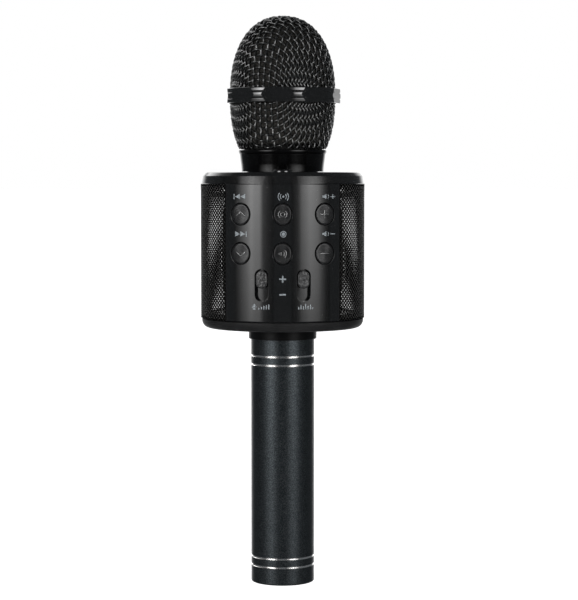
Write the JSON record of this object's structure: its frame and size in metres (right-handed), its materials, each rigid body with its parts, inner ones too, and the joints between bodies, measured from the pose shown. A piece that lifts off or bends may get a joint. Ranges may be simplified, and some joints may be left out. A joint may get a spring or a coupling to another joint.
{
  "type": "karaoke microphone",
  "caption": "Hand-held wireless karaoke microphone: wire-mesh head, round speaker housing with push keys and sliders, and a battery handle.",
  "frame": {"origin": "middle of the handle's flat end, on the surface that the microphone stands on", "axes": "+Z from the handle end to the head, -Y out of the control panel, +X to the right of someone facing the panel"},
  "size_m": [0.0722, 0.0736, 0.2501],
  "materials": {
    "black_aluminium": "black satin anodised, bright-cut rings",
    "black_steel": "black satin coated wire and perforated sheet",
    "bright_steel": "bright",
    "gloss_plastic": "piano black",
    "satin_plastic": "satin black",
    "key_plastic": "dark grey, circular brushed",
    "switch_plastic": "moulded",
    "circuit_board": "solder mask",
    "battery_wrap": "shrink wrap over a metal can",
    "foam": "open-cell foam",
    "rubber": "matt",
    "magnet": "ground ferrite",
    "cone_paper": "treated paper",
    "light_lens": "clear tinted",
    "red_lead": "insulated lead",
    "black_lead": "insulated lead"
  },
  "bodies": {
    "housing": {"handle_tube": "black_aluminium", "handle_end_plug": "satin_plastic", "battery_cell": "battery_wrap", "battery_sleeve": "foam", "battery_lead": "red_lead", "handle_socket": "satin_plastic", "base_cover": "satin_plastic", "base_screw_1": "bright_steel", "base_screw_2": "bright_steel", "base_screw_3": "bright_steel", "top_cover": "gloss_plastic", "right_speaker_grille": "black_steel", "left_speaker_grille": "black_steel", "control_panel": "gloss_plastic", "rear_panel": "gloss_plastic", "speaker_chassis": "satin_plastic", "previous_switch": "switch_plastic", "scan_switch": "switch_plastic", "volume_up_switch": "switch_plastic", "next_switch": "switch_plastic", "record_switch": "switch_plastic", "volume_down_switch": "switch_plastic", "play_switch": "switch_plastic", "mode_switch": "switch_plastic", "power_switch": "switch_plastic", "mic_volume_fader": "bright_steel", "remix_fader": "bright_steel", "control_board": "circuit_board", "rear_board": "circuit_board", "charge_socket": "bright_steel", "card_socket": "bright_steel", "audio_jack": "satin_plastic", "status_light": "light_lens", "right_speaker_frame": "black_steel", "right_speaker_magnet": "magnet", "right_speaker_cone": "cone_paper", "left_speaker_frame": "black_steel", "left_speaker_magnet": "magnet", "left_speaker_cone": "cone_paper", "neck_collar": "gloss_plastic", "capsule_post": "satin_plastic", "capsule_cushion": "rubber", "mic_capsule": "bright_steel", "capsule_lead": "black_lead"},
    "head_thread": {"grille_thread_ring": "black_steel"},
    "head": {"lower_grille": "black_steel", "upper_grille": "black_steel", "grille_band": "gloss_plastic", "foam_liner": "foam"},
    "previous_key": {"previous_key": "key_plastic"},
    "scan_key": {"scan_key": "key_plastic"},
    "volume_up_key": {"volume_up_key": "key_plastic"},
    "next_key": {"next_key": "key_plastic"},
    "record_key": {"record_key": "key_plastic"},
    "volume_down_key": {"volume_down_key": "key_plastic"},
    "play_key": {"play_key": "key_plastic"},
    "mode_key": {"mode_key": "key_plastic"},
    "power_key": {"power_key": "gloss_plastic"},
    "mic_volume_slider": {"mic_volume_knob": "key_plastic"},
    "remix_slider": {"remix_knob": "key_plastic"}
  },
  "joints": [
    {"name": "head_rise", "type": "slide", "parent": "housing", "child": "head_thread", "axis": [0, 0, 1], "range_m": [0, 0.006]},
    {"name": "head_turn", "type": "hinge", "parent": "head_thread", "child": "head", "pos_m": [0, 0, 0.1935], "axis": [0, 0, 1], "range_deg": [0, 1440]},
    {"name": "previous_key_press", "type": "slide", "parent": "housing", "child": "previous_key", "axis": [0, 1, 0], "range_m": [0, 0.0005], "stiffness_N_per_m": 600, "springref_m": -0.0003},
    {"name": "scan_key_press", "type": "slide", "parent": "housing", "child": "scan_key", "axis": [0, 1, 0], "range_m": [0, 0.0005], "stiffness_N_per_m": 600, "springref_m": -0.0003},
    {"name": "volume_up_key_press", "type": "slide", "parent": "housing", "child": "volume_up_key", "axis": [0, 1, 0], "range_m": [0, 0.0005], "stiffness_N_per_m": 600, "springref_m": -0.0003},
    {"name": "next_key_press", "type": "slide", "parent": "housing", "child": "next_key", "axis": [0, 1, 0], "range_m": [0, 0.0005], "stiffness_N_per_m": 600, "springref_m": -0.0003},
    {"name": "record_key_press", "type": "slide", "parent": "housing", "child": "record_key", "axis": [0, 1, 0], "range_m": [0, 0.0005], "stiffness_N_per_m": 600, "springref_m": -0.0003},
    {"name": "volume_down_key_press", "type": "slide", "parent": "housing", "child": "volume_down_key", "axis": [0, 1, 0], "range_m": [0, 0.0005], "stiffness_N_per_m": 600, "springref_m": -0.0003},
    {"name": "play_key_press", "type": "slide", "parent": "housing", "child": "play_key", "axis": [0, -1, 0], "range_m": [0, 0.0005], "stiffness_N_per_m": 600, "springref_m": -0.0003},
    {"name": "mode_key_press", "type": "slide", "parent": "housing", "child": "mode_key", "axis": [0, -1, 0], "range_m": [0, 0.0005], "stiffness_N_per_m": 600, "springref_m": -0.0003},
    {"name": "power_key_press", "type": "slide", "parent": "housing", "child": "power_key", "axis": [0, 0, -1], "range_m": [0, 0.0005], "stiffness_N_per_m": 600, "springref_m": -0.0003},
    {"name": "mic_volume_slide", "type": "slide", "parent": "housing", "child": "mic_volume_slider", "axis": [0, 0, 1], "range_m": [-0.0052, 0]},
    {"name": "remix_slide", "type": "slide", "parent": "housing", "child": "remix_slider", "axis": [0, 0, 1], "range_m": [-0.0052, 0]}
  ],
  "couplings": [
    {"joint": "head_rise", "follows": "head_turn", "m_per_rad": 0.00023873}
  ]
}
